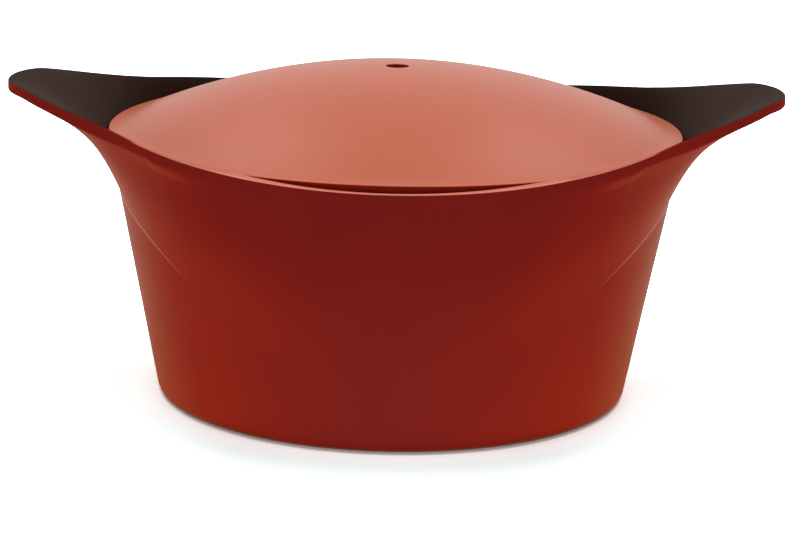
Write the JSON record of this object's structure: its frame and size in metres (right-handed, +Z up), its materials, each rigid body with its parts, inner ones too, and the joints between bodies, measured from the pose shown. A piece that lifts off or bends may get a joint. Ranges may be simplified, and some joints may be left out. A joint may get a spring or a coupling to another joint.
{
  "type": "casserole pot",
  "caption": "Round cast casserole pot with leaning wall, saddle-shaped rim drawn out into side ears, and a loose domed lid with a steam hole.",
  "frame": {"origin": "middle of the flat base, on the surface that the pot stands on", "axes": "+X out through one ear, -Y the front of the picture, +Z up"},
  "size_m": [0.3234, 0.248, 0.1373],
  "materials": {
    "red_enamel": "satin",
    "lid_enamel": "satin",
    "black_coating": "matte",
    "base_steel": "satin"
  },
  "bodies": {
    "pot": {"pot_body": "red_enamel", "induction_plate": "base_steel"},
    "lid": {"lid": "lid_enamel"}
  },
  "joints": [
    {"name": "lid_lift", "type": "slide", "parent": "pot", "child": "lid", "axis": [0, 0, 1], "range_m": [0, 0.1]}
  ]
}
